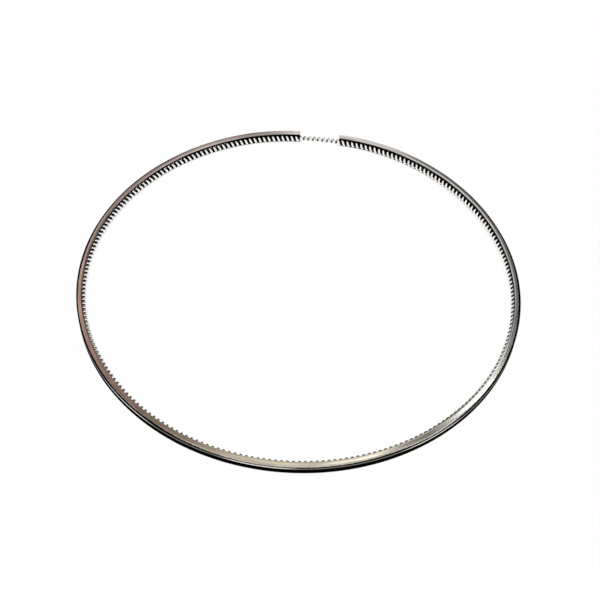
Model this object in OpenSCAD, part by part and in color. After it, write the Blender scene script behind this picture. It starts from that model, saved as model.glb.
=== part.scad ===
// Two-piece oil control ring of a diesel piston, lying free on one side face.
// A slotted steel ring with two bevelled lands carries a coil spring in a round groove on its
// inside. A short wire inside the coil joins the spring's two ends, opposite the ring's gap.

/* [Ring] */
// Cylinder bore that the ring closes to
bore = 137; // [100:1:170]
// Axial height between the two side faces
ring_height = 4; // [3.8:0.1:6]
// Radial wall from the running face to the inner face
wall = 1.9; // [1.7:0.1:3]
// Gap between the tips with the ring free, along the outside
free_gap = 14.6; // [8:0.2:22]
// Gap between the tips with the ring closed in its bore
closed_gap = 0.5; // [0.3:0.05:1]
// Length of the stretch at each tip that curves in more tightly
tip_length = 24; // [14:1:34]
// Distance that each tip lies inside the ring's circle
tip_inset = 0.6; // [0.2:0.05:1]

/* [Running face] */
// Axial width of each land that wipes the bore
land_width = 0.9; // [0.6:0.05:1.1]
// Axial width of the groove between the lands
groove_width = 0.8; // [0.5:0.05:1.1]
// Radial depth of the groove between the lands
groove_depth = 0.45; // [0.25:0.05:0.6]
// Radial depth of the bevel outside each land
bevel_depth = 0.42; // [0.2:0.02:0.6]
// Chamfer on the inner edge of each side face
inner_chamfer = 0.4; // [0.2:0.05:0.5]

/* [Drain slots] */
// Number of slots through the web
slot_count = 22; // [12:1:30]
// Length of a slot along the web
slot_length = 9; // [5:0.5:11]
// Step left between a slot and each flank of the groove
slot_step = 0.12; // [0.05:0.01:0.2]

/* [Coil spring] */
// Outside diameter of the coil
coil_d = 2.2; // [1.9:0.05:2.5]
// Diameter of the spring wire
wire_d = 0.8; // [0.5:0.05:0.9]
// Distance from one turn to the next
coil_pitch = 1.69; // [1.6:0.01:2.6]
// Depth that the coil sinks into the ring's inner face
seat_depth = 0.95; // [0.7:0.05:1.1]
// Room between the coil and its groove
seat_clearance = 0.05; // [0.02:0.01:0.1]
// Room between the two cut ends of the spring, along its axis
butt_gap = 0.3; // [0.1:0.05:0.6]

/* [Joining wire] */
// Length of the wire inside the coil, half of it in each end of the spring
joiner_length = 36; // [16:1:60]
// Room between the wire and the inside of the coil
joiner_clearance = 0.1; // [0.05:0.01:0.15]

/* [Hidden] */
$fn = 128;

// Straight facets in each turn of the spring, and sides of its wire
turn_steps = 6;
wire_sides = 4;

function degrees(length, radius) = length / radius * 180 / PI;
function toward(angle) = [cos(angle), sin(angle)];
function thousandths(value) = round(value * 1000) / 1000;

// The closed ring fills its bore but for the closed gap, and opening it only adds to the gap.
// Angles count from +X, the gap faces +Y, and the ring's circle is centred on the origin.
// Radii and angles are whole thousandths, so that the tips meet the ring's circle exactly.
mid_z = ring_height / 2;
free_r = thousandths((PI * bore - closed_gap + free_gap) / (2 * PI));
main_end = thousandths(90 - degrees(free_gap / 2 + tip_length, free_r));
tip_r = thousandths(1 / (1 / free_r + 2 * tip_inset / pow(tip_length, 2)));
tip_turn = thousandths(degrees(tip_length, tip_r));
tip_centre = (free_r - tip_r) * toward(main_end);

// Depth of the spring's axis behind the running face
axis_depth = wall + coil_d / 2 - seat_depth;
bevel_start = groove_width / 2 + land_width;

// The spring's axis in one half: round the ring's circle from the back, round the tip's tighter
// arc, and on a shallow parabola to the middle of the gap
main_axis_r = free_r - axis_depth;
tip_axis_r = tip_r - axis_depth;
main_run = main_axis_r * (main_end + 90) * PI / 180;
tip_run = tip_axis_r * tip_turn * PI / 180;
tip_point = tip_centre + tip_axis_r * toward(main_end + tip_turn);
gap_rise = tan(90 - main_end - tip_turn) / (2 * tip_point[0]);
half_run = main_run + tip_run + tip_point[0];
turns = round(2 * half_run / coil_pitch);
fitted_pitch = 2 * half_run / turns;

// Each station is a point on the spring's axis and the direction that leads away from the ring
function on_arc(centre, radius, angle) = [centre + radius * toward(angle), angle];
function on_gap(x) = [[x, tip_point[1] + gap_rise * (pow(tip_point[0], 2) - x * x)], 90 - atan(2 * gap_rise * x)];
function half_station(run) =
    run < main_run ? on_arc([0, 0], main_axis_r, degrees(run, main_axis_r) - 90)
    : run < main_run + tip_run ? on_arc(tip_centre, tip_axis_r, main_end + degrees(run - main_run, tip_axis_r))
    : on_gap(half_run - run);
function mirrored(station) = [[-station[0][0], station[0][1]], 180 - station[1]];
function station(run) = run <= half_run ? half_station(run) : mirrored(half_station(2 * half_run - run));

// The faceted wire has the round wire's area. It is drawn out at each bend, so that its straight
// stretches keep their thickness, and its outer corners lie on the coil's outside diameter.
corner_r = wire_d / 2 * sqrt(2 * PI / (wire_sides * sin(360 / wire_sides)));
half_thickness = corner_r * cos(180 / wire_sides);
bend_stretch = 1 / cos(180 / turn_steps);
coil_r = coil_d / 2 - half_thickness * bend_stretch;
room_r = coil_r / bend_stretch - half_thickness;
joiner_d = 2 * (room_r - joiner_clearance);

// Middle of the wire after a number of turns, from the back round by +X, starting below the axis
function out_of_axis(turn) = let (angle = station(turn * fitted_pitch)[1], lift = -90 - 360 * turn)
    [cos(lift) * cos(angle), cos(lift) * sin(angle), sin(lift)];
function wire_middle(turn) = let (point = station(turn * fitted_pitch)[0])
    [point[0], point[1], mid_z] + coil_r * out_of_axis(turn);

// Corners of the wire's section, square to its run
look_ahead = 0.01;
function unit(v) = v / norm(v);
function wire_corners(turn) =
    let (middle = wire_middle(turn),
         out = out_of_axis(turn),
         along = unit(wire_middle(turn + look_ahead) - wire_middle(turn - look_ahead)),
         across = cross(along, out))
    [for (side = [0.5 : wire_sides])
        let (corner = toward(360 * side / wire_sides))
        middle + corner_r * (corner[0] * bend_stretch * out + corner[1] * across)];

// Half of the ring's section, inwards of the running face and above the ring's middle
module half_section() {
    polygon([
        [-wall, 0],
        [-groove_depth, 0],
        [-groove_depth, groove_width / 2],
        [0, groove_width / 2],
        [0, bevel_start],
        [-bevel_depth, mid_z],
        [-wall + inner_chamfer, mid_z],
        [-wall, mid_z - inner_chamfer]
    ]);
}

// Whole section with the round groove that seats the spring
module ring_section() {
    difference() {
        union() {
            half_section();
            mirror([0, 1]) half_section();
        }
        translate([-axis_depth, 0]) circle(d = coil_d + 2 * seat_clearance);
    }
}

// A section carried along an arc about the Z axis
module arc_run(radius, from, turn) {
    rotate_extrude(start = from, angle = turn) translate([radius, mid_z]) children();
}

// A move made in a coarse and a fine step, so that no digit of it is lost
module moved(by) {
    coarse = [for (value = by) thousandths(value)];
    translate(coarse) translate(by - coarse) children();
}

// One slot through the web, from the spring's groove to the groove between the lands
module drain_slot() {
    turn = degrees(slot_length, free_r);
    height = groove_width - 2 * slot_step;
    arc_run(free_r, -turn / 2, turn)
        translate([-wall, -height / 2]) square([wall - groove_depth / 2, height]);
}

module ring_body() {
    slot_turn = (180 + 2 * main_end) / slot_count;
    color("dimgray") difference() {
        union() {
            arc_run(free_r, -180 - main_end, 180 + 2 * main_end) ring_section();
            for (side = [0, 1]) mirror([side, 0, 0])
                moved(tip_centre) arc_run(tip_r, main_end, tip_turn) ring_section();
        }
        for (i = [0 : slot_count - 1]) rotate(main_end - (i + 0.5) * slot_turn) drain_slot();
    }
}

module coil_spring() {
    steps = turns * turn_steps;
    first = butt_gap / 2 / fitted_pitch;
    points = [for (k = [0 : steps]) each wire_corners(first + (turns - 2 * first) * k / steps)];
    sides = [for (k = [0 : steps - 1], j = [0 : wire_sides - 1])
        let (here = wire_sides * k, ahead = here + wire_sides, next = (j + 1) % wire_sides)
        each [[here + j, here + next, ahead + j], [here + next, ahead + next, ahead + j]]];
    start_face = [for (j = [wire_sides - 1 : -1 : 0]) j];
    end_face = [for (j = [0 : wire_sides - 1]) wire_sides * steps + j];
    color("silver") polyhedron(points, concat(sides, [start_face, end_face]));
}

module joining_wire() {
    turn = degrees(joiner_length, main_axis_r);
    color("gray") arc_run(main_axis_r, -90 - turn / 2, turn) circle(d = joiner_d);
}

ring_body();
coil_spring();
joining_wire();
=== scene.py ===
import math

import bpy
import numpy as np
from mathutils import Matrix, Vector


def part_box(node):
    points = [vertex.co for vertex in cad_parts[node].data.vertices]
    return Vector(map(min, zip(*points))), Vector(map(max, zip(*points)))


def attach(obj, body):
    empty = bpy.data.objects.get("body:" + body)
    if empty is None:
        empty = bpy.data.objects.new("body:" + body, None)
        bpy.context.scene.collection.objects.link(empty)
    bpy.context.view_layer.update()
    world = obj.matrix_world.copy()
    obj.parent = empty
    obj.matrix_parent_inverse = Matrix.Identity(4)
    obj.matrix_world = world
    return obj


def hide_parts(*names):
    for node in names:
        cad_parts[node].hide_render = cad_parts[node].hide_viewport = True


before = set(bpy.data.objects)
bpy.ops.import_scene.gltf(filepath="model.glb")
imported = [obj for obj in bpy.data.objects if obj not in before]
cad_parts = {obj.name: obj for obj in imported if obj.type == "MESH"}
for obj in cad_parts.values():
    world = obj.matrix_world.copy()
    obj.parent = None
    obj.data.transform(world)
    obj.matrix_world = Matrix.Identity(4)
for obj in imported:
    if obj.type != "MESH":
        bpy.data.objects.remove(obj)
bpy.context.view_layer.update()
mm = 0.001
print("frame loaded:", ", ".join(sorted(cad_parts)))


# ring: the same sizes as the part's source, in millimetres
ring = {
    "wall": 1.9,
    "freeGap": 14.6,
    "tipLength": 24.0,      # stretch at each tip that curves in more tightly
    "tipInset": 0.6,
    "landWidth": 0.9,
    "grooveWidth": 0.8,
    "grooveDepth": 0.45,
    "bevelDepth": 0.42,
    "innerChamfer": 0.4,
    "slotCount": 22,
    "slotLength": 9.0,
    "slotStep": 0.12,
    "edgeRound": 0.02,      # small radius left on every turned edge
    "seatSteps": 9,         # points on each half of the round seat
    "stationStep": 0.7,     # distance between sections along the ring
    "crispAngle": 24.0,     # degrees above which an edge is shaded crisp
}

# spring: sizes as in the part's source, in millimetres
spring = {
    "coilDiameter": 2.2,
    "wireDiameter": 0.8,
    "pitch": 1.69,
    "seatDepth": 0.95,
    "seatClearance": 0.05,
    "buttGap": 0.3,
    "turnSteps": 24,        # sections in each turn
    "wireSides": 12,
    "crispAngle": 50.0,
}

ringLow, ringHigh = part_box("ring_body")
freeR = ringHigh.x / mm
ringHeight = (ringHigh.z - ringLow.z) / mm
midZ = (ringHigh.z + ringLow.z) / 2 / mm
axisDepth = ring["wall"] + spring["coilDiameter"] / 2 - spring["seatDepth"]

# Tips: tipR is the radius of the tighter arcs, mainEnd the plan angle where the right one begins, and
# tipTurn the angle that it covers. mainRun and halfRun are the ways along the running face from the back
# to that angle and to the tip. seatedWay is the way along the spring's axis to the tip.
tipR = 1 / (1 / freeR + 2 * ring["tipInset"] / ring["tipLength"] ** 2)
mainEnd = math.pi / 2 - (ring["freeGap"] / 2 + ring["tipLength"]) / freeR
tipTurn = ring["tipLength"] / tipR
mainRun = freeR * (mainEnd + math.pi / 2)
halfRun = mainRun + ring["tipLength"]
seatedWay = (freeR - axisDepth) * (mainEnd + math.pi / 2) + (tipR - axisDepth) * tipTurn


# Free form of the ring: a circle from the back to mainEnd, then a tighter arc that touches it.
# run is the signed way along the running face from the back, towards +X when positive, and depth is
# the distance inside the running face. Gives the plan point.
def freeForm(run, depth):
    side = np.where(run < 0, -1.0, 1.0)
    way = np.abs(run)
    inTip = way > mainRun
    angle = np.where(inTip, mainEnd + (way - mainRun) / tipR, way / freeR - math.pi / 2)
    radius = np.where(inTip, tipR, freeR) - depth
    centre = np.where(inTip, freeR - tipR, 0.0)
    x = centre * math.cos(mainEnd) + radius * np.cos(angle)
    y = centre * math.sin(mainEnd) + radius * np.sin(angle)
    return side * x, y


# Corner rounding: each corner becomes three points of a parabola that leaves its two sides at a
# distance radius from the corner. One more point on each side keeps the flats beside it flat in shading.
def roundedCorners(corners, radius):
    inner, sides = corners[1:-1], np.diff(corners, axis=0)
    sides = sides / np.linalg.norm(sides, axis=1, keepdims=True)
    before, after = radius * sides[:-1], radius * sides[1:]
    start, end = inner - before, inner + after
    curve = [start - before, start, (start + 2 * inner + end) / 4, end, end + after]
    return np.stack(curve, axis=1).reshape(-1, 2)


# Section of the ring as a closed loop of (depth, height above the middle). The upper half runs from
# the groove over the land, bevel, side face and inner chamfer to the seat's lip, then down the round
# seat; the lower half is its mirror image. rim is the way round the section from the edge between
# bevel and side face: positive over the face and down the seat, negative down the running face.
def ringSection():
    slotHalf = ring["grooveWidth"] / 2 - ring["slotStep"]
    grooveHalf = ring["grooveWidth"] / 2
    seatR = spring["coilDiameter"] / 2 + spring["seatClearance"]
    lip = math.acos((axisDepth - ring["wall"]) / seatR)
    slotAngle = math.asin(slotHalf / seatR)
    top = ringHeight / 2
    edges = np.array([
        (ring["grooveDepth"], grooveHalf),
        (0.0, grooveHalf),
        (0.0, grooveHalf + ring["landWidth"]),
        (ring["bevelDepth"], top),
        (ring["wall"] - ring["innerChamfer"], top),
        (ring["wall"], top - ring["innerChamfer"]),
        (ring["wall"], seatR * math.sin(lip)),
    ])
    rounded = roundedCorners(edges, ring["edgeRound"])
    seat = np.append(np.linspace(lip, slotAngle, ring["seatSteps"]), 0.0)
    floor = np.array([(ring["grooveDepth"], 0.0), (ring["grooveDepth"], slotHalf), edges[0]])
    seatPoints = np.stack([axisDepth - seatR * np.cos(seat), seatR * np.sin(seat)], axis=1)
    half = np.concatenate([floor, rounded, seatPoints])
    way = np.concatenate([[0.0], np.cumsum(np.linalg.norm(np.diff(half, axis=0), axis=1))])
    cornerPoints = len(rounded) // len(edges[1:-1])
    bevelEdge = 2                                       # the third corner lies between bevel and side face
    rim = way - way[len(floor) + bevelEdge * cornerPoints + cornerPoints // 2]
    loop = np.concatenate([half, half[-2:0:-1] * (1, -1)])
    marks = {"floor": 1, "seat": len(half) - 2, "middle": len(half) - 1}
    return loop, np.concatenate([rim, rim[-2:0:-1]]), marks


# Puts points in millimetres and faces into a new mesh object that stays at the origin, with its edges
# kept crisp above the given angle. wrap holds three values for each point, which the material reads.
def newPiece(name, points, faces, wrap, crispAngle):
    mesh = bpy.data.meshes.new(name)
    mesh.from_pydata((points * mm).tolist(), [], faces)
    layer = mesh.attributes.new("wrap", "FLOAT_VECTOR", "POINT")
    layer.data.foreach_set("vector", np.ascontiguousarray(wrap, dtype=np.float32).ravel())
    mesh.validate()
    mesh.shade_smooth()
    mesh.set_sharp_from_angle(angle=math.radians(crispAngle))
    piece = bpy.data.objects.new(name, mesh)
    bpy.context.scene.collection.objects.link(piece)
    return piece


# Quads of a grid whose rows are sections and whose columns close on themselves
def tubeQuads(rows, columns):
    row, column = np.meshgrid(np.arange(rows - 1), np.arange(columns), indexing="ij")
    ahead = (column + 1) % columns
    return np.stack([row * columns + column, row * columns + ahead,
                     (row + 1) * columns + ahead, (row + 1) * columns + column], axis=-1)


# Ring body: the section carried along the free form. Where a station lies in a drain slot, the
# strips of groove floor and seat between the slot's flanks are left out, and walls close the slot.
# All faces look outwards. wrap holds run, rim and the half: 1 above the middle and -1 below it.
def makeRing():
    loop, rim, marks = ringSection()
    columns = len(loop)
    slotTurn = (math.pi + 2 * mainEnd) / ring["slotCount"]
    slotMiddle = (mainEnd - (np.arange(ring["slotCount"]) + 0.5) * slotTurn + math.pi / 2) * freeR
    slotEnds = np.concatenate([slotMiddle - ring["slotLength"] / 2, slotMiddle + ring["slotLength"] / 2])
    even = np.linspace(-halfRun, halfRun, int(2 * halfRun / ring["stationStep"]) + 1)
    nearSlot = np.abs(even[:, None] - slotEnds[None, :]).min(axis=1) < ring["stationStep"] / 4
    fixed = np.array([-mainRun, mainRun])
    run = np.unique(np.concatenate([even[~nearSlot], slotEnds, fixed]))

    x, y = freeForm(run[:, None], loop[None, :, 0])
    z = np.broadcast_to(midZ + loop[:, 1], x.shape)
    points = np.stack([x, y, z], axis=-1).reshape(-1, 3)

    between = (run[:-1] + run[1:]) / 2
    inSlot = np.abs(between[:, None] - slotMiddle[None, :]).min(axis=1) < ring["slotLength"] / 2
    floorTop, seatTop, seatMiddle = marks["floor"], marks["seat"], marks["middle"]
    floorLow, seatLow = columns - floorTop, columns - seatTop
    strip = np.arange(columns)
    slotStrip = (strip < floorTop) | (strip >= floorLow) | ((strip >= seatTop) & (strip < seatLow))
    quads = tubeQuads(len(run), columns)
    kept = quads[~(inSlot[:, None] & slotStrip[None, :])][:, ::-1]

    rows = np.flatnonzero(inSlot) * columns
    flank = lambda a, b: np.stack([rows + a, rows + b, rows + columns + b, rows + columns + a], axis=-1)
    walls = np.concatenate([flank(floorTop, seatTop), flank(seatLow, floorLow)])
    first = np.flatnonzero(inSlot & ~np.append(False, inSlot[:-1])) * columns
    last = (np.flatnonzero(inSlot & ~np.append(inSlot[1:], False)) + 1) * columns
    slotRim = np.array([floorLow, 0, floorTop, seatTop, seatMiddle, seatLow])
    ends = np.concatenate([first[:, None] + slotRim[None, ::-1], last[:, None] + slotRim[None, :]])
    caps = [strip.tolist(), (strip[::-1] + (len(run) - 1) * columns).tolist()]
    faces = kept.tolist() + walls.tolist() + ends.tolist() + caps

    half = np.sign(loop[:, 1])
    wrap = np.stack(np.broadcast_arrays(run[:, None], rim[None, :], half[None, :]), axis=-1)
    return newPiece("ringBody", points, faces, wrap, ring["crispAngle"])


# Axis of the spring by its way from the back round by +X: the ring's own two arcs at the spring's
# depth, then a shallow parabola across the gap, and the mirror image on the other half. Gives the plan
# point and the direction that leads outwards.
def springAxis(way, halfWay, mainWay, tipWay, mainAxisR, tipAxisR, tipPoint, rise):
    side = np.where(way > halfWay, -1.0, 1.0)
    near = np.where(way > halfWay, 2 * halfWay - way, way)
    inTip, inGap = near > mainWay, near > mainWay + tipWay
    angle = np.where(inTip, mainEnd + (near - mainWay) / tipAxisR, near / mainAxisR - math.pi / 2)
    radius = np.where(inTip, tipAxisR, mainAxisR)
    centre = np.where(inTip, freeR - tipR, 0.0)
    gapX = halfWay - near
    x = np.where(inGap, gapX, centre * math.cos(mainEnd) + radius * np.cos(angle))
    y = np.where(inGap, tipPoint[1] + rise * (tipPoint[0] ** 2 - gapX ** 2),
                 centre * math.sin(mainEnd) + radius * np.sin(angle))
    angle = np.where(inGap, math.pi / 2 - np.arctan(2 * rise * gapX), angle)
    return side * x, y, side * np.cos(angle), np.sin(angle)


# Coil spring: a round wire carried along a helix about the spring's axis. The helix goes down on
# the outside and starts below the axis; each section is square to the wire's run. wrap holds the way
# from the back, negative on the left, how far the wire's surface faces out of the coil, and the way
# without its sign.
def makeSpring():
    mainAxisR, tipAxisR = freeR - axisDepth, tipR - axisDepth
    mainWay, tipWay = mainAxisR * (mainEnd + math.pi / 2), tipAxisR * tipTurn
    tipAngle = mainEnd + tipTurn
    tipPoint = ((freeR - tipR) * math.cos(mainEnd) + tipAxisR * math.cos(tipAngle),
                (freeR - tipR) * math.sin(mainEnd) + tipAxisR * math.sin(tipAngle))
    rise = math.tan(math.pi / 2 - tipAngle) / (2 * tipPoint[0])
    halfWay = mainWay + tipWay + tipPoint[0]
    turns = round(2 * halfWay / spring["pitch"])
    first = spring["buttGap"] / 2 / (2 * halfWay)
    share = np.linspace(first, 1 - first, turns * spring["turnSteps"] + 1)
    way = share * 2 * halfWay

    x, y, outX, outY = springAxis(way, halfWay, mainWay, tipWay, mainAxisR, tipAxisR, tipPoint, rise)
    lift = -math.pi / 2 - 2 * math.pi * turns * share
    out = np.stack([np.cos(lift) * outX, np.cos(lift) * outY, np.sin(lift)], axis=-1)
    coilR = (spring["coilDiameter"] - spring["wireDiameter"]) / 2
    middle = np.stack([x, y, np.full_like(x, midZ)], axis=-1) + coilR * out
    along = np.gradient(middle, axis=0)
    along /= np.linalg.norm(along, axis=1, keepdims=True)
    across = np.cross(along, out)
    turn = np.arange(spring["wireSides"]) * 2 * math.pi / spring["wireSides"]
    points = middle[:, None, :] + spring["wireDiameter"] / 2 * (
        np.cos(turn)[None, :, None] * out[:, None, :] + np.sin(turn)[None, :, None] * across[:, None, :])
    rows, columns = len(share), spring["wireSides"]
    quads = tubeQuads(rows, columns).reshape(-1, 4)
    caps = [np.arange(columns)[::-1].tolist(), (np.arange(columns) + (rows - 1) * columns).tolist()]
    fromBack = np.minimum(way, 2 * halfWay - way)
    signed = np.where(way > halfWay, -fromBack, fromBack)
    wrap = np.stack(np.broadcast_arrays(signed[:, None], np.cos(turn)[None, :], fromBack[:, None]), axis=-1)
    piece = newPiece("coilSpring", points.reshape(-1, 3), quads.tolist() + caps, wrap, spring["crispAngle"])
    print("spring:", turns, "turns,", len(quads) * 2, "triangles")
    return piece


# A node's output that can be used in Python sums; each sum adds a Math node
class Signal:
    def __init__(self, graph, socket):
        self.graph, self.socket = graph, socket

    def maths(self, operation, first, second):
        return self.graph.add("ShaderNodeMath", {"operation": operation}, {0: first, 1: second})

    def __add__(self, other):
        return self.maths("ADD", self, other)

    def __radd__(self, other):
        return self.maths("ADD", other, self)

    def __sub__(self, other):
        return self.maths("SUBTRACT", self, other)

    def __rsub__(self, other):
        return self.maths("SUBTRACT", other, self)

    def __mul__(self, other):
        return self.maths("MULTIPLY", self, other)

    def __rmul__(self, other):
        return self.maths("MULTIPLY", other, self)


# A node tree, with one method that makes any node: settings are set first, then the sockets
class Graph:
    def __init__(self, owner):
        owner.use_nodes = True
        self.tree = owner.node_tree
        self.tree.nodes.clear()

    def add(self, kind, settings=None, sockets=None, output=0):
        node = self.tree.nodes.new(kind)
        for key, value in (settings or {}).items():
            if key == "stops":
                ramp = node.color_ramp
                while len(ramp.elements) < len(value):
                    ramp.elements.new(1.0)
                for element, (place, colour) in zip(ramp.elements, value):
                    element.position, element.color = place, (*colour, 1.0)
            else:
                setattr(node, key, value)
        for key, value in (sockets or {}).items():
            if isinstance(value, Signal):
                self.tree.links.new(value.socket, node.inputs[key])
            else:
                node.inputs[key].default_value = value
        return Signal(self, node.outputs[output]) if len(node.outputs) else None

    # value rising smoothly from 0 at low to 1 at high, or falling where low is the larger
    def ramp(self, value, low, high):
        return self.add("ShaderNodeMapRange", {"interpolation_type": "SMOOTHSTEP"},
                        {"Value": value, "From Min": low, "From Max": high})

    def mixColours(self, share, first, second, blend="MIX"):
        return self.add("ShaderNodeMix", {"data_type": "RGBA", "blend_type": blend},
                        {0: share, 6: first, 7: second}, 2)

    # falling from 1 to 0 across a border, and rising across it
    def below(self, value, border, soft):
        return self.ramp(value, border + soft, border - soft)

    def above(self, value, border, soft):
        return self.ramp(value, border - soft, border + soft)

    def split(self, vector):
        return [self.add("ShaderNodeSeparateXYZ", {}, {"Vector": vector}, axis) for axis in range(3)]

    def noise(self, place, scale, detail=2.0):
        return self.add("ShaderNodeTexNoise", {}, {"Vector": place, "Scale": scale, "Detail": detail})

    def stretched(self, place, scale):
        return self.add("ShaderNodeMapping", {}, {"Vector": place, "Scale": scale})


bevelLength = math.hypot(ring["bevelDepth"], ringHeight / 2 - ring["grooveWidth"] / 2 - ring["landWidth"])
finish = {
    # colour of the ground steel along the ring: cream at the back, dark brown just left of it and pinkish
    # further round to the left, from the tip left of the gap (0) by the back (0.5) to the tip on the right
    # (1)
    "colourAlong": [
        (0.00, (0.66, 0.62, 0.62)),
        (0.10, (0.62, 0.53, 0.51)),
        (0.13, (0.62, 0.48, 0.50)),
        (0.21, (0.70, 0.58, 0.54)),
        (0.28, (0.60, 0.43, 0.36)),
        (0.36, (0.53, 0.39, 0.33)),
        (0.40, (0.38, 0.31, 0.25)),
        (0.44, (0.49, 0.44, 0.35)),
        (0.52, (0.66, 0.61, 0.51)),
        (0.60, (0.62, 0.59, 0.53)),
        (0.66, (0.64, 0.64, 0.63)),
        (1.00, (0.62, 0.60, 0.60)),
    ],
    "rose": (0.70, 0.46, 0.45, 1),
    "olive": (0.52, 0.53, 0.38, 1),
    "stainShare": 0.35,
    "darkMark": (0.62, 0.62, 0.62, 1),      # brightness of the darkest grinding marks
    # patterns, as their scale along the ring, across it and from one half to the other
    "marks": (0.35, 16.0, 1.0),
    "streaks": (0.12, 2.6, 1.0),
    "blotches": (0.16, 0.7, 1.0),
    "chips": (1.3, 2.2, 1.0),
    "patternDetail": 3.0,
    "streakShare": 0.6,
    # values of a pattern between which its effect comes in
    "shadeRange": (0.36, 0.6),
    "roseRange": (0.52, 0.7),
    "oliveRange": (0.46, 0.3),
    "greyRange": (0.5, 0.75),
    "blackCoat": (0.002, 0.0018, 0.0016, 1),
    "greyCoat": (0.008, 0.007, 0.006, 1),
    "landSteel": (0.2, 0.19, 0.17, 1),
    "paintedHighlight": (0.95, 0.93, 0.88, 1),
    # edge of the bare steel along the ring, as the way from the edge of the side face: down the bevel
    # where negative, inside the face where positive; where positive, at the left and right, the black coat on
    # the face's outer rim is painted shade
    "bareEdge": [
        (0.00, -0.1), (0.02, 0.1), (0.06, 0.2), (0.13, 0.46), (0.24, 0.46), (0.27, 0.25), (0.30, 0.05),
        (0.33, -0.02), (0.41, -0.1), (0.44, -0.4), (0.465, -0.55), (0.545, -0.55), (0.585, -0.35),
        (0.615, -0.4), (0.645, -0.2), (0.67, -0.08), (0.70, 0.08), (0.73, 0.28), (0.76, 0.46),
        (0.87, 0.46), (0.94, -0.1), (1.00, -0.1),
    ],
    "edgeBase": -0.6,               # lowest edge that the stops above can give
    "chipDepth": 0.4,               # how far chips and the painted highlights move the edge
    "glintDepth": 0.12,
    "edgeSoft": 0.06,               # half the width of the change at each border
    "lineSoft": 0.05,
    "faceSoft": 0.02,
    "stretchSoft": 4.0,
    "faceEnd": ring["wall"] - ring["bevelDepth"] - ring["innerChamfer"],
    "chamferEnd": ring["wall"] - ring["bevelDepth"] + (0.95 * math.sqrt(2) - 1) * ring["innerChamfer"],
    "chamferRoughness": 0.2,
    "chamferShade": (0.1, 0.085, 0.065, 1),
    # stretches with painted shade on the chamfer: the middle, the reach to each side and the shade's share
    "chamferShadeStretches": [(-59.0, 37.0, 1.0), (-200.0, 9.0, 0.5)],
    "chamferHighlightStretch": (76.0, 14.0),  # where a painted highlight lies on the chamfer
    "filmAndShade": (0.30, 0.28, 0.20, 1),  # painted shade in brown along the inner edge at the back
    "innerShadeStretch": (5.0, 24.0),
    "innerShadeShare": 0.7,
    "innerShadeEdge": (0.5, 0.15),        # distances from the chamfer between which it comes in
    "patches": (-49.0, -4.0, 49.0),  # places along the ring with a painted highlight on the upper land
    "glintReach": 9.0,
    "lineTop": -bevelLength - 0.25 * ring["landWidth"],     # bright line along the upper land
    "lineLow": -bevelLength - 0.72 * ring["landWidth"],
    "bumpStrength": 0.1,
    "bumpHeight": 0.00002,
    "markRoughness": 0.06,
    "faceRoughness": 0.1,
    "coatRoughness": 0.45,
    "landRoughness": 0.3,
}
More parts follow.
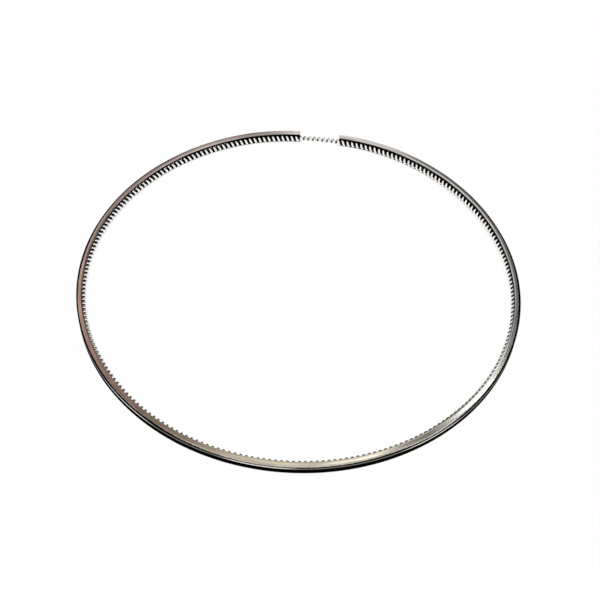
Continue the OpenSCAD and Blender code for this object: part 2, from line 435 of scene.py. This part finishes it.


# Ring steel: side faces are ground bare, with fine marks along the ring, faint rose and olive stains
# and painted shade along the inner edge at the back. The upper chamfer is bare too, with painted shade
# along two stretches and a painted highlight along one. Bevels and groove keep a black oxide; the same
# black on the face's outer rim at the sides and on the lower chamfer and land is painted shade. The upper
# land is rubbed bare along a line, with painted highlights at three places.
def ringSteel():
    material = bpy.data.materials.new("ringSteel")
    graph = Graph(material)
    wrap = graph.add("ShaderNodeAttribute", {"attribute_name": "wrap"}, output="Vector")
    run, rim, half = graph.split(wrap)
    marks, streaks, blotches, chips = (
        graph.noise(graph.stretched(wrap, finish[pattern]), 1.0, finish["patternDetail"])
        for pattern in ("marks", "streaks", "blotches", "chips"))
    near = lambda place, reach: graph.below(graph.add(
        "ShaderNodeMath", {"operation": "ABSOLUTE"}, {0: run - place}), reach, finish["stretchSoft"])

    along = 0.5 + run * (0.5 / halfRun)
    steel = graph.add("ShaderNodeValToRGB", {"stops": finish["colourAlong"]}, {0: along})
    rose = graph.ramp(blotches, *finish["roseRange"]) * finish["stainShare"]
    olive = graph.ramp(blotches, *finish["oliveRange"]) * finish["stainShare"]
    steel = graph.mixColours(rose, steel, finish["rose"])
    steel = graph.mixColours(olive, steel, finish["olive"])
    grinding = (1 - finish["streakShare"]) * marks + finish["streakShare"] * streaks
    shade = graph.mixColours(graph.ramp(grinding, *finish["shadeRange"]), finish["darkMark"], (1, 1, 1, 1))
    steel = graph.mixColours(1.0, steel, shade, "MULTIPLY")

    # Painted shade: the inner part of the face and the chamfer turn darker and browner at the back
    innerShadeStart, innerShadeFull = (finish["faceEnd"] - distance for distance in finish["innerShadeEdge"])
    filmAndShade = graph.ramp(rim, innerShadeStart, innerShadeFull) * near(*finish["innerShadeStretch"])
    steel = graph.mixColours(filmAndShade * finish["innerShadeShare"], steel, finish["filmAndShade"])

    heights = [(place, (depth - finish["edgeBase"],) * 3) for place, depth in finish["bareEdge"]]
    # Painted highlights: at three places the upper land turns near white and the bare steel reaches further
    # down the bevel
    wearAndGlints = sum(near(place, finish["glintReach"]) for place in finish["patches"])
    edge = graph.add("ShaderNodeValToRGB", {"stops": heights}, {0: along}) + finish["edgeBase"] \
        + (chips - 0.5) * finish["chipDepth"] - wearAndGlints * finish["glintDepth"]
    # Painted shade: below the middle the chamfer and the land keep the black coat, for the shade where the
    # ring meets the floor
    upper = graph.above(half, 0.0, 0.5)
    # Painted shade: at the left and right the black coat reaches onto the outer rim of the side face
    bare = graph.above(rim - edge, 0.0, finish["edgeSoft"]) \
        * graph.below(rim, finish["faceEnd"], finish["faceSoft"])
    chamfer = graph.above(rim, finish["faceEnd"], finish["faceSoft"]) \
        * graph.below(rim, finish["chamferEnd"], finish["faceSoft"]) * upper
    land = graph.below(rim, finish["lineTop"], finish["lineSoft"]) \
        * graph.above(rim, finish["lineLow"], finish["lineSoft"]) * upper

    coat = graph.mixColours(graph.ramp(chips, *finish["greyRange"]), finish["blackCoat"], finish["greyCoat"])
    colour = graph.mixColours(bare, coat, steel)
    landWithGlints = graph.mixColours(wearAndGlints, finish["landSteel"], finish["paintedHighlight"])
    colour = graph.mixColours(land, colour, landWithGlints)
    # Painted shade darkens the chamfer along two stretches, and a painted highlight brightens it along one
    dullAndShade = sum(near(middle, reach) * share for middle, reach, share in finish["chamferShadeStretches"])
    inner = graph.mixColours(dullAndShade, steel, finish["chamferShade"])
    inner = graph.mixColours(near(*finish["chamferHighlightStretch"]), inner, finish["paintedHighlight"])
    colour = graph.mixColours(chamfer, colour, inner)
    base = finish["coatRoughness"]
    rough = base + bare * (finish["faceRoughness"] - base + finish["markRoughness"] * marks)
    rough = rough + land * (finish["landRoughness"] - base) + chamfer * (finish["chamferRoughness"] - base)
    bump = graph.add("ShaderNodeBump", {}, {
        "Strength": finish["bumpStrength"], "Distance": finish["bumpHeight"], "Height": marks})
    shader = graph.add("ShaderNodeBsdfPrincipled", {}, {
        "Base Color": colour, "Metallic": bare + land + chamfer, "Roughness": rough, "Normal": bump,
        "Specular IOR Level": 0.0})
    graph.add("ShaderNodeOutputMaterial", {}, {"Surface": shader})
    return material


wireFinish = {
    "bright": (0.98, 0.975, 0.965, 1),
    "dullAndShade": (0.90, 0.885, 0.86, 1),
    # painted shade: near black on the inside of the coil's turns
    "scale": (0.02, 0.019, 0.018, 1),
    "insideShadeEdge": (-0.2, 0.12),      # how far round to the outside of the coil the painted shade reaches
    "gapShadeShare": 0.7,               # share of the painted shade that is left on the bare coil in the gap
    "bareSoft": 1.0,
    "filmAndShade": (0.22, 0.19, 0.12, 1),
    "filmLeft": (82.0, 60.0),       # distances from the back between which the oil film ends
    "filmRight": (90.0, 50.0),
    "grain": 900.0,
    "grainRange": (0.35, 0.7),
    "grainRoughness": 0.1,
    "roughness": 0.1,
    "joinerRoughness": 0.25,
}


# Spring wire: steel that is ground bright, with painted shade in near black on the inside of the turns,
# lighter on the bare coil in the gap, and a brown film of oil round the back
def springWire(name, roughness, wound):
    material = bpy.data.materials.new(name)
    graph = Graph(material)
    place = graph.add("ShaderNodeTexCoord", output="Object")
    grain = graph.noise(place, wireFinish["grain"])
    wearAndGlints = graph.ramp(grain, *wireFinish["grainRange"])
    colour = graph.mixColours(wearAndGlints, wireFinish["bright"], wireFinish["dullAndShade"])
    if wound:
        wrap = graph.add("ShaderNodeAttribute", {"attribute_name": "wrap"}, output="Vector")
        way, outward, fromBack = graph.split(wrap)
        filmAndShade = graph.ramp(way, *wireFinish["filmRight"]) * graph.ramp(fromBack, *wireFinish["filmLeft"])
        colour = graph.mixColours(filmAndShade, colour, wireFinish["filmAndShade"])
        # Painted shade in near black on the inside of the turns, kept lighter on the coil across the gap
        bare = graph.above(fromBack, seatedWay, wireFinish["bareSoft"])
        inside = 1.0 - graph.ramp(outward, *wireFinish["insideShadeEdge"])
        insideShade = inside * (1.0 - bare * (1.0 - wireFinish["gapShadeShare"]))
        colour = graph.mixColours(insideShade, colour, wireFinish["scale"])
    shader = graph.add("ShaderNodeBsdfPrincipled", {}, {
        "Base Color": colour, "Metallic": 1.0, "Roughness": roughness + wireFinish["grainRoughness"] * grain})
    graph.add("ShaderNodeOutputMaterial", {}, {"Surface": shader})
    return material


ringPiece = makeRing()
ringPiece.data.materials.append(ringSteel())
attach(ringPiece, "root")
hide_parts("ring_body")
print("ring:", len(ringPiece.data.polygons), "faces")

springPiece = makeSpring()
springPiece.data.materials.append(springWire("springWire", wireFinish["roughness"], wound=True))
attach(springPiece, "root")
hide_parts("coil_spring")

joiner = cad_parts["joining_wire"]
joiner.data.materials.clear()
joiner.data.materials.append(springWire("joinerWire", wireFinish["joinerRoughness"], wound=False))
print("joining wire kept from the frame")


stage = {
    "floorSize": 3.0,                       # metres
    "floorDrop": 0.00002,                   # keeps the paper clear of the ring's lower face
    "floorColour": (0.9, 0.9, 0.9, 1),
    "floorGlow": 0.985,                     # share of plain white that a camera or a mirror sees
    "contact": 0.0025,                      # reach of the shadow under the ring and its spring
    "contactTone": (0.03, 0.03, 0.03, 1),
    "contactOpen": (0.25, 0.6),             # openness of the floor between full shadow and plain white
    "lightWay": (0.0, -0.5, 0.87),          # where most of the light on the floor comes from
    "openSamples": 16,
    "darkRoom": (0.02, 0.02, 0.02, 1),
    "wall": (1.0, 0.99, 0.97, 1),
    "dimWall": (0.58, 0.57, 0.55, 1),
    "wallWay": (-0.3, -0.95, 0.0),          # walls are brightest behind the camera, a little to its left
    "farLeft": (0.55, 0.46, 0.43, 1),       # upper part of the far wall, which the side face mirrors
    "farRight": (0.23, 0.23, 0.225, 1),
    "dimRight": 0.45,                       # share of the right wall's brightness beyond the ring
    # parts of the surround, as the values of x, y, z or of the way to the bright wall where they begin
    # and are full
    "wallFade": (-0.6, 0.3),
    "behindFade": (0.35, 0.1),
    "horizonFade": (0.2, 0.08),
    "leftFade": (-0.6, -0.8),
    "rightFade": (0.6, 0.8),
    "rightNear": (0.4, 0.1),
    "farSides": (-0.2, 0.06),
    "farTop": (0.86, 0.94),
    "farStart": (0.3, 0.5),
    "farFoot": (0.57, 0.63),
}


# Floor: white paper. Seen directly or in the metal it is plain white, but for the line of shadow where
# the ring touches it.
def makeFloor():
    half = stage["floorSize"] / 2
    corners = np.array([(-half, -half, 0), (half, -half, 0), (half, half, 0), (-half, half, 0)])
    mesh = bpy.data.meshes.new("floor")
    mesh.from_pydata((corners - (0, 0, stage["floorDrop"])).tolist(), [], [(0, 1, 2, 3)])
    floor = bpy.data.objects.new("floor", mesh)
    bpy.context.scene.collection.objects.link(floor)
    material = bpy.data.materials.new("whitePaper")
    graph = Graph(material)
    path = lambda output: graph.add("ShaderNodeLightPath", output=output)
    seen = path("Is Camera Ray") + path("Is Glossy Ray")
    paper = graph.add("ShaderNodeBsdfDiffuse", {}, {"Color": stage["floorColour"]})
    lightWay = graph.add("ShaderNodeCombineXYZ", {}, dict(enumerate(stage["lightWay"])))
    openness = graph.add("ShaderNodeAmbientOcclusion", {"samples": stage["openSamples"]},
                         {"Distance": stage["contact"], "Normal": lightWay}, "AO")
    white = graph.mixColours(graph.ramp(openness, *stage["contactOpen"]), stage["contactTone"], (1, 1, 1, 1))
    glow = graph.add("ShaderNodeEmission", {}, {"Color": white, "Strength": 1.0})
    mixed = graph.add("ShaderNodeMixShader", {}, {0: seen * stage["floorGlow"], 1: paper, 2: glow})
    graph.add("ShaderNodeOutputMaterial", {}, {"Surface": mixed})
    mesh.materials.append(material)


# Surround: bright behind the camera, overhead and at the sides, dark beyond down to a bright horizon, with
# a dim patch high in the far wall that the side face mirrors. Plain white where the camera sees it.
def makeSurround():
    world = bpy.data.worlds.new("studio")
    bpy.context.scene.world = world
    graph = Graph(world)
    part = lambda value, name: graph.ramp(value, *stage[name])
    way = graph.add("ShaderNodeTexCoord", output="Generated")      # direction of the ray
    x, y, z = graph.split(way)
    towards = graph.add("ShaderNodeVectorMath", {"operation": "DOT_PRODUCT"},
                        {0: way, 1: stage["wallWay"]}, "Value")
    walls = graph.mixColours(part(towards, "wallFade"), stage["dimWall"], stage["wall"])
    rightShare = stage["dimRight"] + (1 - stage["dimRight"]) * part(y, "rightNear")
    aside = part(x, "leftFade") + part(x, "rightFade") * rightShare
    bright = part(y, "behindFade") + part(z, "horizonFade") + aside
    room = graph.mixColours(bright, stage["darkRoom"], walls)
    far = graph.mixColours(part(x, "farSides"), stage["farLeft"], stage["farRight"])
    far = graph.mixColours(part(z, "farTop"), far, stage["darkRoom"])
    room = graph.mixColours(part(y, "farStart") * part(z, "farFoot"), room, far)
    seen = graph.add("ShaderNodeLightPath", output="Is Camera Ray")
    shown = graph.mixColours(seen, room, (1, 1, 1, 1))
    background = graph.add("ShaderNodeBackground", {}, {"Color": shown, "Strength": 1.0})
    graph.add("ShaderNodeOutputWorld", {}, {"Surface": background})


# Softboxes: place of the middle and size in metres, brightness of the cloth (1 is paper white), colour
softboxes = {
    "nearBox": ((-0.005, 0.2, 0.5), (0.146, 0.17), 0.93, (1.0, 0.96, 0.9)),
    "nearRightBox": ((0.037, 0.243, 0.495), (0.035, 0.06), 1.3, (1.0, 0.99, 0.97)),
    "rightBox": ((0.131, 0.32, 0.5), (0.036, 0.06), 4.0, (1.0, 1.0, 1.0)),
    "farBox": ((-0.007, 0.66, 0.5), (0.13, 0.17), 1.08, (1.0, 0.97, 0.95)),
    "farLeftBox": ((-0.14, 0.6, 0.5), (0.045, 0.1), 0.33, (1.0, 0.93, 0.9)),
    "leftBox": ((-0.235, 0.40, 0.5), (0.08, 0.14), 0.32, (1.0, 0.93, 0.9)),
}


def makeLamps():
    for name, (place, size, brightness, colour) in softboxes.items():
        lamp = bpy.data.lights.new(name, "AREA")
        lamp.shape = "RECTANGLE"
        lamp.size, lamp.size_y = size
        lamp.energy = brightness * math.pi * size[0] * size[1]      # power that gives that brightness
        lamp.color = colour
        holder = bpy.data.objects.new(name, lamp)
        holder.matrix_world = Matrix.Translation(place)
        bpy.context.scene.collection.objects.link(holder)


photoView = {
    "distance": 5.0,            # in free radii of the ring
    "elevation": 48.907,
    "azimuth": 4.3,
    "roll": 2.525,
    "aim": (1.089, -8.139),     # plan point on the camera's axis, in millimetres
    "focalPixels": 1099.6,
    "framePixels": 600,
    "sensorWidth": 36.0,
    "clipStart": 0.01,
}


# Camera: stands on a sphere about the ring's middle, looks at the aim point, and is rolled about its axis
def makeCamera():
    up = math.radians(photoView["elevation"])
    turn = math.radians(photoView["azimuth"])
    roll = math.radians(photoView["roll"])
    reach = photoView["distance"] * freeR
    eye = Vector((math.sin(turn) * math.cos(up), -math.cos(turn) * math.cos(up), math.sin(up))) * reach
    eye.z += midZ
    ahead = (Vector((*photoView["aim"], midZ)) - eye).normalized()
    right = ahead.cross(Vector((0, 0, 1))).normalized()
    above = right.cross(ahead)
    right, above = (right * math.cos(roll) + above * math.sin(roll),
                    above * math.cos(roll) - right * math.sin(roll))
    data = bpy.data.cameras.new("camera")
    data.sensor_width = photoView["sensorWidth"]
    data.lens = photoView["focalPixels"] / photoView["framePixels"] * data.sensor_width
    data.clip_start = photoView["clipStart"]
    camera = bpy.data.objects.new("camera", data)
    pose = Matrix((right, above, -ahead)).transposed().to_4x4()
    pose.translation = eye * mm
    camera.matrix_world = pose
    bpy.context.scene.collection.objects.link(camera)
    bpy.context.scene.camera = camera


makeFloor()
makeSurround()
makeLamps()
makeCamera()
bpy.context.scene.view_settings.view_transform = "Standard"
print("stage, lamps and camera set")
